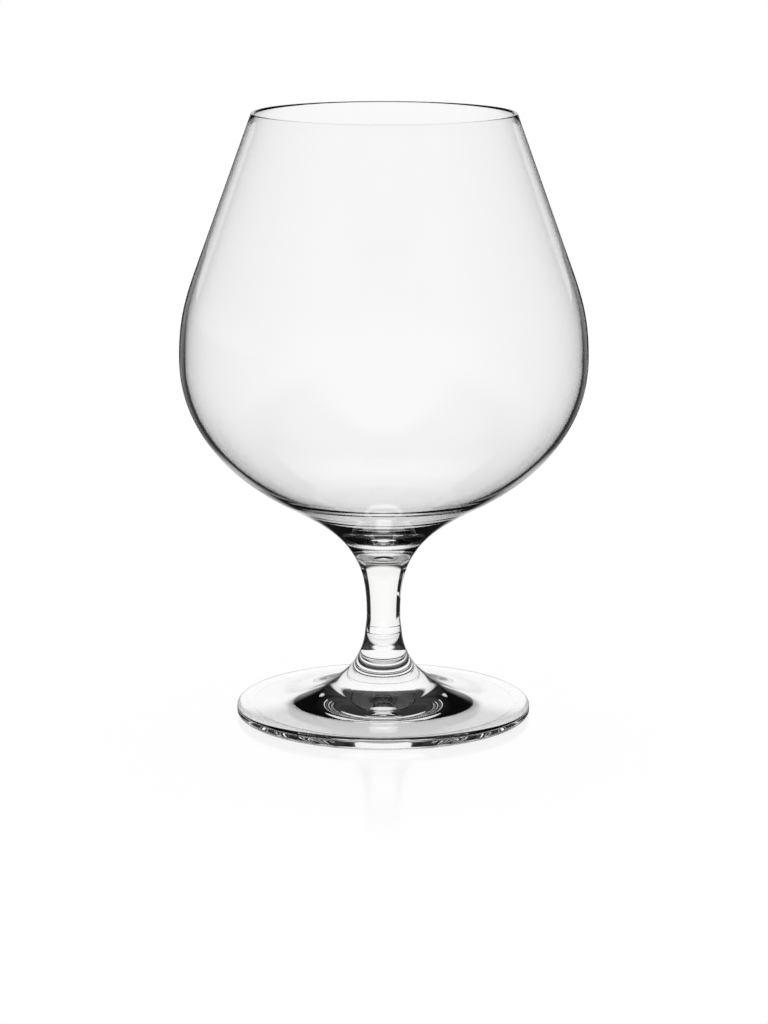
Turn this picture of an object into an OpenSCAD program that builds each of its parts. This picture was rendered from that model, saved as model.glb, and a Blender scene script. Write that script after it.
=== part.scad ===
// Brandy snifter: a blown bowl, a short waisted stem and a pressed foot, all of clear glass.
// Millimetres, +Z up, origin at the middle of the circle that the foot stands on.

/* [Bowl] */
// height of the bowl from its seam with the stem to the top of the lip
bowl_h = 115; // [109:0.5:124]
// outer diameter of the belly, the widest part of the glass
belly_d = 105; // [96:0.5:114]
// height of the belly above the seam with the stem
belly_rise = 52.3; // [48:0.1:57]
// outer diameter at the lip
rim_d = 67.6; // [60:0.1:75]
// glass thickness at the lip, rounded over its full width
rim_wall = 1; // [0.8:0.05:1.3]
// glass thickness at the belly
belly_wall = 1.4; // [1.1:0.05:1.8]
// glass thickness where the side turns into the bottom
turn_wall = 1.6; // [1.4:0.05:2.1]
// height of the inside bottom above the seam with the stem
floor_rise = 5.9; // [5:0.1:7.4]

/* [Stem] */
// height of the stem from its seam with the foot to its seam with the bowl
stem_h = 19.8; // [15:0.1:40]
// diameter at the waist, the narrowest part of the stem
waist_d = 8.7; // [7:0.1:9.4]
// height of the waist above the seam with the foot
waist_rise = 4.3; // [3:0.1:6]
// diameter of the seam between the stem and the bowl
bowl_seam_d = 15; // [12.5:0.1:18]
// slope of the glass at the bowl seam, in degrees from level
bowl_seam_slope = 60; // [52:1:66]

/* [Foot] */
// height of the foot from the table to its seam with the stem
foot_h = 21.7; // [18:0.1:26]
// outer diameter of the foot
foot_d = 76.5; // [68:0.5:86]
// diameter of the seam between the foot and the stem
foot_seam_d = 9.5; // [9.5:0.1:11]
// slope of the flare away from upright at that seam, in degrees
flare_lean = 5; // [2:0.5:10]
// diameter inside which the flat of the foot turns up into the flare
flare_d = 56; // [50:0.5:60]
// height of the top of the foot where the flare begins
flare_start_h = 4; // [3.7:0.1:4.6]
// thickness of the foot just inside its rounded edge
edge_h = 3.1; // [2.7:0.1:3.5]
// radius of the rounding along the top of the edge
edge_top_r = 1.3; // [0.9:0.1:1.5]
// radius of the rounding along the bottom of the edge
edge_bottom_r = 0.9; // [0.6:0.1:1.1]
// width of the flat ring that the glass stands on
ring_w = 3.5; // [2:0.1:6]
// height of the shallow hollow under the foot at its middle
hollow_h = 1.4; // [0.8:0.1:2]

/* [Hidden] */
$fn = 96;
glass_colour = [0.86, 0.93, 0.95, 0.45];
stem_colour = [0.80, 0.90, 0.94, 0.55];
foot_colour = [0.83, 0.91, 0.94, 0.5];
// straight pieces that each curve is cut into
fine = 14;
coarse = 9;
// each end of a curve: the length of its handle as a share of the size that it follows
shoulder_handle_share = 0.188;
belly_upper_handle_share = 0.194;
belly_lower_handle_share = 0.378;
turn_handle_share = 0.247;
bowl_seam_handle_share = 0.37;
floor_handle_share = 0.25;
wall_turn_handle_share = 0.48;
stem_top_handle_share = 0.2;
waist_upper_handle_share = 0.59;
waist_lower_handle_share = 0.4;
flare_top_handle_share = 0.4;
flare_foot_handle_share = 0.78;
// where the cone of the bowl ends, from the belly up and from the rim out
shoulder_rise_share = 0.4535;
shoulder_r_share = 0.658;
// where the round bottom turns into the curve that runs down to the stem
turn_r_share = 0.491;
turn_rise_share = 0.279;
turn_slope = 27.6;
// where the inside stops following the outside, along the lower belly
wall_end_share = 0.9;
// how late the wall thickens on its way down the side: 1 is evenly, more is later
wall_growth = 6;
// heights of the two seams above the table
foot_seam_z = foot_h;
bowl_seam_z = foot_h + stem_h;

// a point on a cubic curve, and the unit vector along it, at t from 0 to 1
function cubic(p, t) = pow(1 - t, 3) * p[0] + 3 * pow(1 - t, 2) * t * p[1]
    + 3 * (1 - t) * t * t * p[2] + pow(t, 3) * p[3];
function unit(v) = v / norm(v);
function along(p, t) = unit(pow(1 - t, 2) * (p[1] - p[0]) + 2 * (1 - t) * t * (p[2] - p[1])
    + t * t * (p[3] - p[2]));
function curve(p, steps) = [for (i = [0 : steps]) cubic(p, i / steps)];
function heading(angle) = [cos(angle), sin(angle)];
function arc(centre, r, from, to, steps) =
    [for (i = [0 : steps]) centre + r * heading(from + (to - from) * i / steps)];
// a curve moved inward, square to itself, by a thickness that runs from one value to another
function moved_in(p, steps, wall_from, wall_to, t_end, growth) = [for (i = [0 : steps])
    let (t = t_end * i / steps, u = along(p, t), share = pow(t / t_end, growth),
        wall = wall_from + (wall_to - wall_from) * share) cubic(p, t) - wall * [-u[1], u[0]]];
function reversed(points) = [for (i = [len(points) - 1 : -1 : 0]) points[i]];

module blown(points) {
    rotate_extrude() polygon(points);
}

// The bowl: an outside of four stretches (cone, belly, round bottom, throat) and an inside that
// follows it at the thickness of the wall, then leaves it for a bottom of its own over the thick glass.
module bowl() {
    belly_r = belly_d / 2;
    rim_r = rim_d / 2;
    lip_r = rim_wall / 2;
    upper_h = bowl_h - belly_rise;
    belly = [belly_r, belly_rise];
    shoulder = [rim_r + shoulder_r_share * (belly_r - rim_r), belly_rise + shoulder_rise_share * upper_h];
    cone_up = unit([rim_r, bowl_h] - shoulder);
    cone_out = [cone_up[1], -cone_up[0]];
    lip_tilt = atan2(cone_out[1], cone_out[0]);
    lip_edge = [rim_r, bowl_h - lip_r * (1 - sin(lip_tilt))];
    lip_centre = lip_edge - lip_r * cone_out;
    turn = [turn_r_share * belly_r, turn_rise_share * belly_rise];
    seam = [bowl_seam_d / 2, 0];
    upper = [shoulder, shoulder - shoulder_handle_share * upper_h * cone_up,
        belly + [0, belly_upper_handle_share * upper_h], belly];
    lower = [belly, belly - [0, belly_lower_handle_share * belly_rise],
        turn + turn_handle_share * belly_r * heading(turn_slope), turn];
    throat = [turn, turn - turn_handle_share * belly_r * heading(turn_slope),
        seam + bowl_seam_handle_share * bowl_seam_d * heading(bowl_seam_slope), seam];
    inside_side = moved_in(lower, fine, belly_wall, turn_wall, wall_end_share, wall_growth);
    wall_end = inside_side[fine];
    wall_way = unit(wall_end - inside_side[fine - 1]);
    inside_bottom = [wall_end, wall_end + wall_turn_handle_share * belly_r * wall_way,
        [floor_handle_share * turn[0], floor_rise], [0, floor_rise]];
    outside = concat(arc(lip_centre, lip_r, 90, lip_tilt, coarse), curve(upper, fine), curve(lower, fine),
        curve(throat, fine), [[0, 0]]);
    inside = concat(arc(lip_centre, lip_r, 90, lip_tilt + 180, coarse), moved_in(upper, fine, rim_wall,
        belly_wall, 1, 1), inside_side, curve(inside_bottom, fine));
    color(glass_colour)
        translate([0, 0, bowl_seam_z])
            blown(concat(reversed(inside), outside));
}

// The stem: solid glass, widest where it carries the bowl and drawn in to a waist low down.
module stem() {
    top = [bowl_seam_d / 2, stem_h];
    waist = [waist_d / 2, waist_rise];
    base = [foot_seam_d / 2, 0];
    drawn_h = stem_h - waist_rise;
    upper = [top, top - stem_top_handle_share * bowl_seam_d * heading(bowl_seam_slope),
        waist + [0, waist_upper_handle_share * drawn_h], waist];
    lower = [waist, waist - [0, waist_lower_handle_share * waist_rise],
        base + waist_lower_handle_share * waist_rise * heading(90 + flare_lean), base];
    color(stem_colour)
        translate([0, 0, foot_seam_z])
            blown(concat([[0, stem_h]], curve(upper, fine), curve(lower, coarse), [[0, 0]]));
}

// The foot: a flare that spreads into a gently sloping disc with a rounded edge. It stands on a flat
// ring, and the hollow inside the ring is a shallow dome.
module foot() {
    foot_r = foot_d / 2;
    top = [foot_seam_d / 2, foot_h];
    start = [flare_d / 2, flare_start_h];
    edge_top = [foot_r - edge_top_r, edge_h - edge_top_r];
    edge_bottom = [foot_r - edge_bottom_r, edge_bottom_r];
    disc_out = unit([edge_top[0], edge_h] - start);
    disc_tilt = atan2(disc_out[1], disc_out[0]);
    spread = start[0] - top[0];
    flare = [top, top + flare_top_handle_share * (foot_h - flare_start_h) * heading(flare_lean - 90),
        start - flare_foot_handle_share * spread * disc_out, start];
    ring_in = edge_bottom[0] - ring_w;
    dome_r = (ring_in * ring_in + hollow_h * hollow_h) / (2 * hollow_h);
    dome_half = asin(ring_in / dome_r);
    outside = concat(curve(flare, fine), arc(edge_top, edge_top_r, 90 + disc_tilt, 0, coarse),
        arc(edge_bottom, edge_bottom_r, 0, -90, coarse));
    color(foot_colour)
        blown(concat([[0, foot_h]], outside, arc([0, hollow_h - dome_r], dome_r, 90 - dome_half, 90, fine)));
}

bowl();
stem();
foot();
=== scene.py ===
"""A brandy snifter of clear glass, in the order in which the glassmaker puts it together."""

import math

import bpy
import numpy as np
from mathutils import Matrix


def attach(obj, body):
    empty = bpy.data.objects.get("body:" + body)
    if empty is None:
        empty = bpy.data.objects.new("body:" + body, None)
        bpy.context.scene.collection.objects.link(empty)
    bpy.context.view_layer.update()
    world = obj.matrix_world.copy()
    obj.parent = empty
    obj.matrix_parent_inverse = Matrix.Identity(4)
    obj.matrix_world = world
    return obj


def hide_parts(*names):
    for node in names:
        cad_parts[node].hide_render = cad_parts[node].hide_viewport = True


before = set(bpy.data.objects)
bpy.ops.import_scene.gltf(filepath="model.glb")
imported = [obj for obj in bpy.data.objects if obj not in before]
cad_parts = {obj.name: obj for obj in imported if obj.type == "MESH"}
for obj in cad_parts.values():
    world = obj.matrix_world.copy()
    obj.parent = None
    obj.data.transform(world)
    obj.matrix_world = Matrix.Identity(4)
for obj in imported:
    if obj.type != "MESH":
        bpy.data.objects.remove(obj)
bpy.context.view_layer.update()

# The bowl. It is blown in a turned mould from a gather of clear glass, then its top is cut off
# and the edge melted round. The wall is thin at the lip and thickens down to a heavy bottom,
# which runs straight into the stem.
mm = 0.001
hair = 1e-6
bowl_h = 115.0
belly_r = 52.5
belly_rise = 52.3
rim_r = 33.8
lip_r = 0.5
belly_wall = 1.4
turn_wall = 1.6
floor_rise = 5.9
bowl_seam_r = 7.5
bowl_seam_slope = 60.0
bowl_seam_z = 41.5
turn_slope = 27.6
wall_growth = 6
ring_pitch = 2.4
ring_depth = 0.02
ring_from_r = 10
ring_to_r = 33
bowl_facets = 210
# the corners of the outline and the handles of its curves, as shares of the sizes they follow
shoulder_r_share = 0.658
shoulder_rise_share = 0.4535
shoulder_handle_share = 0.188
belly_upper_handle_share = 0.194
belly_lower_handle_share = 0.378
turn_r_share = 0.491
turn_rise_share = 0.279
turn_handle_share = 0.247
bowl_seam_handle_share = 0.74
wall_end_share = 0.9
wall_end_handle_share = 0.48
floor_handle_share = 0.25


def heading(degrees):
    """The unit vector at that angle from level, as (out, up)."""
    return np.array([math.cos(math.radians(degrees)), math.sin(math.radians(degrees))])


def unit(v):
    """v divided by its length."""
    return np.asarray(v, float) / np.linalg.norm(v)


def cubic(a, b, c, d, t):
    """Points on a cubic curve: each end and its handle weighed by the powers of t and 1 - t."""
    t = np.asarray(t)[:, None]
    return (1 - t) ** 3 * a + 3 * (1 - t) ** 2 * t * b + 3 * (1 - t) * t ** 2 * c + t ** 3 * d


def along(a, b, c, d, t):
    """Unit vectors along the same curve: its derivative divided by its length."""
    t = np.asarray(t)[:, None]
    v = (1 - t) ** 2 * (b - a) + 2 * (1 - t) * t * (c - b) + t ** 2 * (d - c)
    return v / np.linalg.norm(v, axis=1, keepdims=True)


def arc(centre, radius, start, stop, steps):
    """Points at one distance from a centre, between two angles from level."""
    angle = np.radians(np.linspace(start, stop, steps))
    return np.asarray(centre) + radius * np.stack([np.cos(angle), np.sin(angle)], axis=1)


def line(a, b, steps):
    """Points evenly along a straight stretch."""
    return np.asarray(a) + (np.asarray(b, float) - a) * np.linspace(0, 1, steps)[:, None]


def turned(name, outline, facets, is_joint):
    """A solid of revolution: each point (r, z) of the outline, given from the axis at the bottom
    to the axis at the top with the glass on its left, becomes a ring x = r cos a, y = r sin a."""
    keep = np.append(True, np.linalg.norm(np.diff(outline, axis=0), axis=1) > hair)
    outline = outline[keep]
    rings = outline[1:-1]
    a = np.arange(facets) * 2 * math.pi / facets
    ring_points = np.stack([rings[:, :1] * np.cos(a), rings[:, :1] * np.sin(a),
                            np.broadcast_to(rings[:, 1:], (len(rings), facets))], axis=2)
    ends = np.array([[0, 0, outline[0, 1]], [0, 0, outline[-1, 1]]])
    points = np.concatenate([ring_points.reshape(-1, 3), ends]) * mm
    index = np.arange(len(rings) * facets).reshape(len(rings), facets)
    after = np.roll(index, -1, axis=1)
    quads = np.stack([index[:-1], after[:-1], after[1:], index[1:]], axis=2).reshape(-1, 4)
    low, high = len(points) - 2, len(points) - 1
    low_fan = np.stack([np.full(facets, low), after[0], index[0]], axis=1)
    high_fan = np.stack([index[-1], after[-1], np.full(facets, high)], axis=1)
    corners = np.concatenate([quads.ravel(), low_fan.ravel(), high_fan.ravel()])
    sizes = np.concatenate([np.full(len(quads), 4), np.full(2 * facets, 3)])
    mesh = bpy.data.meshes.new(name)
    mesh.vertices.add(len(points))
    mesh.vertices.foreach_set("co", points.ravel())
    mesh.loops.add(len(corners))
    mesh.loops.foreach_set("vertex_index", corners.astype(np.int32))
    mesh.polygons.add(len(sizes))
    mesh.polygons.foreach_set("loop_start", (np.cumsum(sizes) - sizes).astype(np.int32))
    mesh.update(calc_edges=True)
    middle = (outline[:-1] + outline[1:]) / 2
    joint = is_joint(middle[:, 0], middle[:, 1])
    face_joint = np.concatenate([np.repeat(joint[1:-1], facets), np.repeat(joint[[0, -1]], facets)])
    mesh.polygons.foreach_set("material_index", face_joint.astype(np.int32))
    mesh.polygons.foreach_set("use_smooth", ~face_joint)
    mesh.update()
    piece = bpy.data.objects.new(name, mesh)
    bpy.context.scene.collection.objects.link(piece)
    return piece


upper_h = bowl_h - belly_rise
shoulder = np.array([rim_r + shoulder_r_share * (belly_r - rim_r), belly_rise + shoulder_rise_share * upper_h])
cone_up = unit(np.array([rim_r, bowl_h]) - shoulder)
cone_out = np.array([cone_up[1], -cone_up[0]])
lip_tilt = math.degrees(math.atan2(cone_out[1], cone_out[0]))
lip_edge = np.array([rim_r, bowl_h - lip_r * (1 - math.sin(math.radians(lip_tilt)))])
lip_centre = lip_edge - lip_r * cone_out
belly = np.array([belly_r, belly_rise])
turn = np.array([turn_r_share * belly_r, turn_rise_share * belly_rise])
turn_way = turn_handle_share * belly_r * heading(turn_slope)
bowl_seam = np.array([bowl_seam_r, 0.0])
seam_way = bowl_seam_handle_share * bowl_seam_r * heading(bowl_seam_slope)
upper = (shoulder, shoulder - shoulder_handle_share * upper_h * cone_up,
         belly + [0, belly_upper_handle_share * upper_h], belly)
lower = (belly, belly - [0, belly_lower_handle_share * belly_rise], turn + turn_way, turn)
throat = (turn, turn - turn_way, bowl_seam + seam_way, bowl_seam)


def moved_in(curve, t, wall):
    """The curve at t, moved square to itself into the bowl by the thickness of the wall there."""
    way = along(*curve, t)
    return cubic(*curve, t) - wall[:, None] * np.stack([-way[:, 1], way[:, 0]], axis=1)


def ringed(points, inner_r, outer_r):
    """The points, moved up and down by the faint rings that the tool leaves: a sine of the radius,
    whose depth swells from nothing at either radius to its full depth midway. The rings are
    drawn deeper than the real ones, so that they show."""
    r = points[:, 0]
    swell = np.clip((r - inner_r) / (outer_r - inner_r), 0, 1)
    ring = ring_depth * np.sin(math.pi * swell) * np.sin(2 * math.pi * r / ring_pitch)
    return points + np.stack([np.zeros_like(r), ring], axis=1)


t_throat = np.linspace(0, 1, 60)
t_upper = np.linspace(0, 1, 40)
t_side = np.append(np.linspace(0, 0.8, 36)[:-1], np.linspace(0.8, 1, 24))
t_bottom = np.linspace(0, 1, 100)
side_wall = belly_wall + (turn_wall - belly_wall) * t_side ** wall_growth
inside_upper = moved_in(upper, t_upper, 2 * lip_r + (belly_wall - 2 * lip_r) * t_upper)
inside_side = moved_in(lower, wall_end_share * t_side, side_wall)
wall_foot = inside_side[-1]
wall_way = unit(inside_side[-1] - inside_side[-2])
inside_bottom = cubic(wall_foot, wall_foot + wall_end_handle_share * belly_r * wall_way,
                      np.array([floor_handle_share * turn[0], floor_rise]), np.array([0, floor_rise]), t_bottom)
bowl_outline = np.concatenate([
    line([0, 0], bowl_seam, 6),
    cubic(*throat, t_throat)[::-1],
    cubic(*lower, t_throat)[::-1],
    cubic(*upper, t_upper)[::-1],
    line(shoulder, lip_edge, 14),
    arc(lip_centre, lip_r, lip_tilt, lip_tilt + 180, 16),
    line(lip_centre - lip_r * cone_out, inside_upper[0], 14),
    inside_upper,
    ringed(np.concatenate([inside_side, inside_bottom]), ring_from_r, ring_to_r),
]) + [0, bowl_seam_z]
bowl = turned("bowl_glass", bowl_outline, bowl_facets, lambda r, z: (z < bowl_seam_z + hair) & (r < bowl_seam_r))


def node(tree, kind, inputs=(), links=(), **settings):
    """One node with its settings, its plain input values and the sockets that feed it."""
    made = tree.nodes.new(kind)
    for key, value in settings.items():
        setattr(made, key, value)
    for key, value in dict(inputs).items():
        made.inputs[key].default_value = value
    for key, socket in dict(links).items():
        tree.links.new(socket, made.inputs[key])
    return made


def linear(hex_colour):
    """An sRGB hex colour as linear values with alpha 1."""
    s = np.array([int(hex_colour[i:i + 2], 16) for i in (0, 2, 4)]) / 255
    return (*np.where(s <= 0.04045, s / 12.92, ((s + 0.055) / 1.055) ** 2.4), 1.0)


glass_ior = 1.52
bloom_roughness = 0.012


def clear_glass(name, colour, wave_mm, wave_depth_mm):
    """Soda-lime glass, fire-polished: it bends light by its IOR and keeps it clear. The melt leaves
    a slight waviness, and the roughness rises a trace on the crests of the waves."""
    material = bpy.data.materials.new(name)
    material.use_nodes = True
    tree = material.node_tree
    tree.nodes.clear()
    place = node(tree, "ShaderNodeTexCoord")
    wave = node(tree, "ShaderNodeTexNoise", {"Scale": 1 / (wave_mm * mm), "Detail": 1.0},
                {"Vector": place.outputs["Object"]})
    bump = node(tree, "ShaderNodeBump", {"Strength": 1.0, "Distance": wave_depth_mm * mm},
                {"Height": wave.outputs["Fac"]})
    bloom = node(tree, "ShaderNodeMapRange",
                 {"From Min": 0.3, "From Max": 0.8, "To Min": 0.0, "To Max": bloom_roughness},
                 {"Value": wave.outputs["Fac"]})
    glass = node(tree, "ShaderNodeBsdfPrincipled",
                 {"Base Color": colour, "IOR": glass_ior, "Transmission Weight": 1.0},
                 {"Roughness": bloom.outputs["Result"], "Normal": bump.outputs["Normal"]})
    node(tree, "ShaderNodeOutputMaterial", links={"Surface": glass.outputs["BSDF"]})
    return material


# where two pieces are fused hot, light passes from one to the other as if they were one
joint = bpy.data.materials.new("fused_joint_glass")
joint.use_nodes = True
joint.node_tree.nodes.clear()
through = node(joint.node_tree, "ShaderNodeBsdfTransparent")
node(joint.node_tree, "ShaderNodeOutputMaterial", links={"Surface": through.outputs["BSDF"]})
bowl.data.materials.append(clear_glass("blown_soda_lime_glass", linear("fefefe"), 14, 0.008))
bowl.data.materials.append(joint)
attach(bowl, "root")
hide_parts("bowl")

# The stem. A short rod of solid glass, drawn down from under the bowl while it is hot, widest
# where it carries the bowl and with its waist low down.
stem_h = 19.8
waist_r = 4.35
waist_rise = 4.3
foot_seam_r = 4.75
flare_lean = 5.0
foot_seam_z = 21.7
stem_facets = 160
stem_top_handle_share = 0.4
waist_upper_handle_share = 0.59
waist_lower_handle_share = 0.4
drawn_h = stem_h - waist_rise
stem_top = np.array([bowl_seam_r, stem_h])
waist = np.array([waist_r, waist_rise])
stem_base = np.array([foot_seam_r, 0.0])
stem_upper = (stem_top, stem_top - stem_top_handle_share * bowl_seam_r * heading(bowl_seam_slope),
              waist + [0, waist_upper_handle_share * drawn_h], waist)
stem_lower = (waist, waist - [0, waist_lower_handle_share * waist_rise],
              stem_base + waist_lower_handle_share * waist_rise * heading(90 + flare_lean), stem_base)
stem_outline = np.concatenate([
    line([0, 0], stem_base, 5),
    cubic(*stem_lower, t_throat)[::-1],
    cubic(*stem_upper, t_bottom)[::-1],
    line(stem_top, [0, stem_h], 6),
]) + [0, foot_seam_z]
stem = turned("stem_glass", stem_outline, stem_facets,
              lambda r, z: ((z < foot_seam_z + hair) | (z > bowl_seam_z - hair)) & (r < bowl_seam_r))
stem.data.materials.append(clear_glass("drawn_soda_lime_glass", linear("fefefd"), 9, 0.006))
stem.data.materials.append(joint)
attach(stem, "root")
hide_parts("stem")

# The foot. A disc pressed and spun from a second gather, joined to the stem a little above
# the flare, with its edge fire-polished round. It stands on a flat ring and is faintly
# hollow underneath.
foot_h = foot_seam_z
foot_r = 38.25
flare_r = 28.0
flare_start_h = 4.0
edge_h = 3.1
edge_top_r = 1.3
edge_bottom_r = 0.9
ring_w = 3.5
hollow_h = 1.4
foot_facets = 240
flare_top_handle_share = 0.4
flare_foot_handle_share = 0.78
foot_top = np.array([foot_seam_r, foot_h])
disc_start = np.array([flare_r, flare_start_h])
edge_top = np.array([foot_r - edge_top_r, edge_h - edge_top_r])
edge_bottom = np.array([foot_r - edge_bottom_r, edge_bottom_r])
disc_out = unit(np.array([edge_top[0], edge_h]) - disc_start)
disc_tilt = math.degrees(math.atan2(disc_out[1], disc_out[0]))
flare = (foot_top, foot_top + flare_top_handle_share * (foot_h - flare_start_h) * heading(flare_lean - 90),
         disc_start - flare_foot_handle_share * (flare_r - foot_seam_r) * disc_out, disc_start)
ring_in = edge_bottom[0] - ring_w
dome_r = (ring_in ** 2 + hollow_h ** 2) / (2 * hollow_h)
dome_half = math.degrees(math.asin(ring_in / dome_r))
foot_outline = np.concatenate([
    arc([0, hollow_h - dome_r], dome_r, 90, 90 - dome_half, 90),
    arc(edge_bottom, edge_bottom_r, -90, 0, 14),
    arc(edge_top, edge_top_r, 0, 90 + disc_tilt, 18),
    cubic(*flare, t_bottom)[::-1],
    line(foot_top, [0, foot_h], 5),
])
foot = turned("foot_glass", foot_outline, foot_facets, lambda r, z: (z > foot_h - hair) & (r < foot_seam_r))
foot.data.materials.append(clear_glass("pressed_soda_lime_glass", linear("fefefe"), 12, 0.01))
foot.data.materials.append(joint)
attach(foot, "root")
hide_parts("foot")

# The table: a sheet of gloss white acrylic, which shows white and mirrors the glass faintly.
# For rays that have passed the glass or been mirrored by it, the table glows with painted light close
# under the foot and in fans behind the glass, with painted black between, so that the thick glass gets its dark
# borders.
table_half = 12.0
acrylic_roughness = 0.12
mirror_share = 0.12


def band(tree, value, low, high, soft):
    """1 where the value lies between low and high, falling smoothly to 0 over the soft width outside."""
    rise = node(tree, "ShaderNodeMapRange", {"From Min": low - soft, "From Max": low}, {"Value": value},
                interpolation_type="SMOOTHSTEP")
    fall = node(tree, "ShaderNodeMapRange",
                {"From Min": high, "From Max": high + soft, "To Min": 1.0, "To Max": 0.0},
                {"Value": value}, interpolation_type="SMOOTHSTEP")
    both = node(tree, "ShaderNodeMath", {}, {0: rise.outputs[0], 1: fall.outputs[0]}, operation="MULTIPLY")
    return both.outputs[0]


def brightest(tree, rules):
    """The largest strength among the rules, each a strength times the masks that it holds under."""
    best = None
    for strength, masks in rules:
        held = masks[0]
        for mask in masks[1:]:
            held = node(tree, "ShaderNodeMath", {}, {0: held, 1: mask}, operation="MULTIPLY").outputs[0]
        held = node(tree, "ShaderNodeMath", {1: strength}, {0: held}, operation="MULTIPLY").outputs[0]
        best = held if best is None else node(tree, "ShaderNodeMath", {}, {0: best, 1: held},
                                              operation="MAXIMUM").outputs[0]
    return best


def bearing(tree, place):
    """The angle round the glass in degrees, 0 straight behind it and rising to the left."""
    xyz = node(tree, "ShaderNodeSeparateXYZ", {}, {0: place})
    left = node(tree, "ShaderNodeMath", {1: -1.0}, {0: xyz.outputs["X"]}, operation="MULTIPLY").outputs[0]
    angle = node(tree, "ShaderNodeMath", {}, {0: left, 1: xyz.outputs["Y"]}, operation="ARCTAN2").outputs[0]
    return node(tree, "ShaderNodeMath", {}, {0: angle}, operation="DEGREES").outputs[0]


def fans(tree, around):
    """Masks by bearing: behind the glass as the front, the side and the back views look at it, and
    in front of it, where the mask fades in from the sides."""
    sides_and_back = band(tree, around, -90, 90, 60)
    in_front = node(tree, "ShaderNodeMath", {0: 1.0}, {1: sides_and_back}, operation="SUBTRACT").outputs[0]
    return (band(tree, around, -36, 36, 4), band(tree, around, 62, 118, 4),
            band(tree, around, -173, -97, 4), in_front)


def paths(tree):
    """Masks for how light came: outside the glass, through one solid part or through two walls, and
    straight, after any reflection, after one alone or after more."""
    ray = node(tree, "ShaderNodeLightPath")
    crossed, turned_back = ray.outputs["Transmission Depth"], ray.outputs["Glossy Depth"]
    return (ray, band(tree, crossed, -1, 0.4, 0.1), band(tree, crossed, 0.6, 2.4, 0.1),
            band(tree, crossed, 2.6, 99, 0.1), band(tree, turned_back, -1, 0.4, 0.1),
            band(tree, turned_back, 0.6, 99, 0.1), band(tree, turned_back, 0.6, 1.4, 0.1),
            band(tree, turned_back, 1.6, 99, 0.1))


table_mesh = bpy.data.meshes.new("table")
table_mesh.from_pydata([(-table_half, -table_half, 0), (table_half, -table_half, 0),
                        (table_half, table_half, 0), (-table_half, table_half, 0)], [], [(0, 1, 2, 3)])
table = bpy.data.objects.new("table", table_mesh)
bpy.context.scene.collection.objects.link(table)
acrylic = bpy.data.materials.new("gloss_white_acrylic_and_painted_light")
acrylic.use_nodes = True
tree = acrylic.node_tree
tree.nodes.clear()
ray, outside, solid, walls, straight, bounced, once, more = paths(tree)
place = node(tree, "ShaderNodeTexCoord").outputs["Object"]
across = node(tree, "ShaderNodeSeparateXYZ", {}, {0: place}).outputs["X"]
around = bearing(tree, place)
behind, behind_side, behind_back, in_front = fans(tree, around)
reach = node(tree, "ShaderNodeVectorMath", {}, {0: place}, operation="LENGTH").outputs["Value"]
everywhere = band(tree, reach, -1.0, 99.0, 1.0)
from_foot = band(tree, ray.outputs["Ray Length"], -1.0, 12 * mm, 3 * mm)
from_stem = band(tree, ray.outputs["Ray Length"], 25 * mm, 99.0, 5 * mm)
under_stem = band(tree, reach, -1.0, 4 * mm, 2 * mm)
narrow = band(tree, around, -30, 30, 4)
strip = band(tree, across, -75 * mm, 75 * mm, 30 * mm)
strength = brightest(tree, [
    # painted black, a shade less far off
    (0.02, [everywhere]),
    (0.045, [bounced, solid, band(tree, reach, 150 * mm, 99.0, 40 * mm)]),
    # straight through the foot, the stem or the far side of the mouth
    (1.0, [straight, solid, from_foot]),
    (1.0, [straight, solid, behind]),
    (1.0, [straight, solid, behind_back]),
    (1.0, [straight, solid, band(tree, reach, 300 * mm, 99.0, 30 * mm), behind_side]),
    (1.0, [straight, solid, band(tree, reach, -1.0, 60 * mm, 20 * mm), band(tree, around, 36, 84, 4)]),
    (1.0, [straight, solid, band(tree, reach, 320 * mm, 430 * mm, 40 * mm), band(tree, around, 40, 50, 4)]),
    # turned back inside the foot or the neck
    (1.0, [more, solid, band(tree, reach, -1.0, 36 * mm, 2 * mm), narrow]),
    (1.0, [once, solid, band(tree, reach, -1.0, 18 * mm, 2 * mm), narrow]),
    (1.0, [once, solid, band(tree, reach, 40 * mm, 99.0, 8 * mm), band(tree, around, -12, 12, 24)]),
    (1.0, [bounced, solid, under_stem]),
    (0.4, [bounced, solid, from_stem, band(tree, reach, -1.0, 22 * mm, 6 * mm)]),
    # through both walls of the bowl
    (1.0, [walls, straight]),
    (0.1, [walls, bounced]),
    (1.0, [walls, bounced, band(tree, reach, 65 * mm, 99.0, 45 * mm)]),
    # mirrored in the outside of the glass
    (0.7, [outside, band(tree, reach, 140 * mm, 99.0, 50 * mm), strip, behind]),
    (1.0, [outside, in_front, band(tree, reach, 60 * mm, 99.0, 30 * mm)]),
])
show = node(tree, "ShaderNodeEmission", {"Color": (1, 1, 1, 1), "Strength": 1.0})
# painted light: the table glows at the strengths above for rays that came through or off the glass
painted_glass_light = node(tree, "ShaderNodeEmission", {"Color": (1, 1, 1, 1)}, {"Strength": strength})
matt = node(tree, "ShaderNodeBsdfDiffuse", {"Color": (0.9, 0.9, 0.9, 1)})
gloss = node(tree, "ShaderNodeBsdfAnisotropic", {"Color": (1, 1, 1, 1), "Roughness": acrylic_roughness})
near = band(tree, reach, -1.0, 45 * mm, 75 * mm)
mirrored = node(tree, "ShaderNodeMath", {1: mirror_share}, {0: near}, operation="MULTIPLY").outputs[0]
seen = node(tree, "ShaderNodeMixShader", {}, {"Fac": mirrored, 1: show.outputs[0], 2: gloss.outputs[0]})
by_glass = node(tree, "ShaderNodeMath", {},
                {0: ray.outputs["Is Transmission Ray"], 1: ray.outputs["Is Glossy Ray"]}, operation="MAXIMUM")
to_camera = node(tree, "ShaderNodeMixShader", {},
                 {"Fac": ray.outputs["Is Camera Ray"], 1: matt.outputs[0], 2: seen.outputs[0]})
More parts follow.
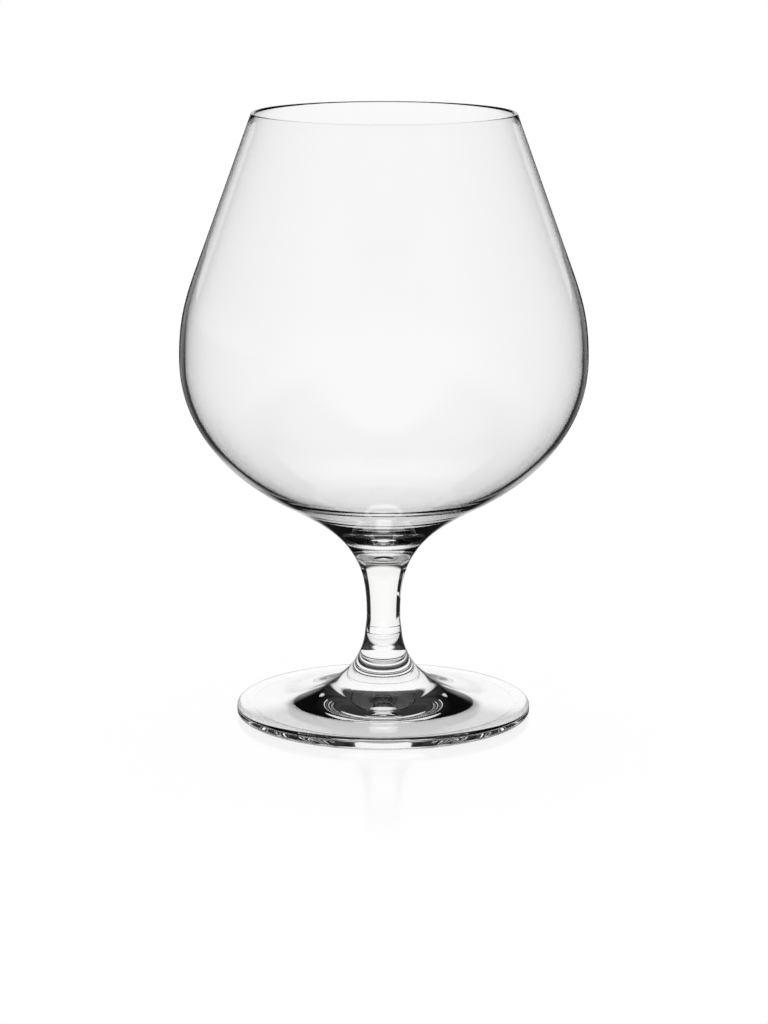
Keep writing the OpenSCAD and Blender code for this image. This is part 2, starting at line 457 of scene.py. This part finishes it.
whole = node(tree, "ShaderNodeMixShader", {},
             {"Fac": by_glass.outputs[0], 1: to_camera.outputs[0], 2: painted_glass_light.outputs[0]})
node(tree, "ShaderNodeOutputMaterial", links={"Surface": whole.outputs[0]})
table_mesh.materials.append(acrylic)

# The studio: white cards low behind the glass and in front of it, a soft light overhead, and
# black flags between them. What shines evenly on the table is as bright as the cards.
world = bpy.data.worlds.new("studio")
bpy.context.scene.world = world
world.use_nodes = True
tree = world.node_tree
tree.nodes.clear()
ray, outside, solid, walls, straight, bounced, once, more = paths(tree)
place = node(tree, "ShaderNodeTexCoord").outputs["Generated"]
around = bearing(tree, place)
behind, behind_side, behind_back, in_front = fans(tree, around)
up = node(tree, "ShaderNodeSeparateXYZ", {}, {0: place}).outputs["Z"]
up = node(tree, "ShaderNodeMath", {}, {0: up}, operation="ARCSINE").outputs[0]
up = node(tree, "ShaderNodeMath", {}, {0: up}, operation="DEGREES").outputs[0]
everywhere = band(tree, up, -99, 99, 1)
card = band(tree, up, -99, 18, 8)
overhead = band(tree, around, -24, 24, 40)
strength = brightest(tree, [
    # black, a shade less near the level
    (0.02, [everywhere]),
    (0.045, [bounced, solid, band(tree, up, -99, 2, 2)]),
    # seen past the glass, and shining on the table
    (1.0, [ray.outputs["Is Camera Ray"]]),
    (1.0, [ray.outputs["Is Diffuse Ray"]]),
    # straight through the foot, the stem or the far side of the mouth
    (1.0, [straight, solid, card, behind]),
    (1.0, [straight, solid, card, behind_side]),
    (1.0, [straight, solid, card, behind_back]),
    # turned back inside the foot or the neck, or by the far wall and out of the mouth
    (1.0, [once, solid, band(tree, up, 0, 15, 3), behind]),
    (1.0, [bounced, solid, band(tree, up, 4, 16, 3), band(tree, around, -20, 20, 3)]),
    (1.0, [once, solid, in_front, band(tree, up, 45, 99, 10)]),
    # through both walls of the bowl
    (1.0, [walls, straight, band(tree, up, -99, 25, 8)]),
    (0.06, [walls, bounced]),
    (1.0, [walls, bounced, band(tree, up, -99, 22, 6)]),
    (0.3, [walls, bounced, band(tree, up, 20, 40, 4), overhead]),
    (1.0, [walls, bounced, band(tree, up, 38, 72, 4), overhead]),
    (1.0, [walls, bounced, in_front, band(tree, up, -99, 75, 10)]),
    (0.35, [walls, once]),
    (1.0, [walls, once, band(tree, up, -99, 22, 30)]),
    # mirrored in the outside of the glass
    (0.4, [outside, band(tree, up, 50, 99, 25)]),
    (1.0, [outside, band(tree, up, -99, 17, 5), band(tree, around, -10, 10, 8)]),
    (0.35, [outside, band(tree, up, -99, 4, 14), band(tree, around, 60, 120, 30)]),
    (1.0, [outside, in_front, band(tree, up, -99, 15, 45)]),
])
light = node(tree, "ShaderNodeBackground", {"Color": (1, 1, 1, 1)}, {"Strength": strength})
node(tree, "ShaderNodeOutputWorld", links={"Surface": light.outputs[0]})

# The camera: a long lens a little above the rim of the bowl, tilted down on the glass.
film_mm = 36.0
focal_px = 3293.8
frame_h_px = 1024
tilt = 12.0
lens = bpy.data.cameras.new("camera")
lens.sensor_fit = "AUTO"
lens.sensor_width = film_mm
lens.lens = focal_px * film_mm / frame_h_px
lens.clip_start = 0.01
lens.clip_end = 100
camera = bpy.data.objects.new("camera", lens)
camera.location = (0.1 * mm, -835.4 * mm, 230.8 * mm)
camera.rotation_euler = (math.radians(90 - tilt), math.radians(-0.1), math.radians(0.021))
bpy.context.scene.collection.objects.link(camera)
bpy.context.scene.camera = camera

bpy.context.scene.view_settings.view_transform = "Standard"
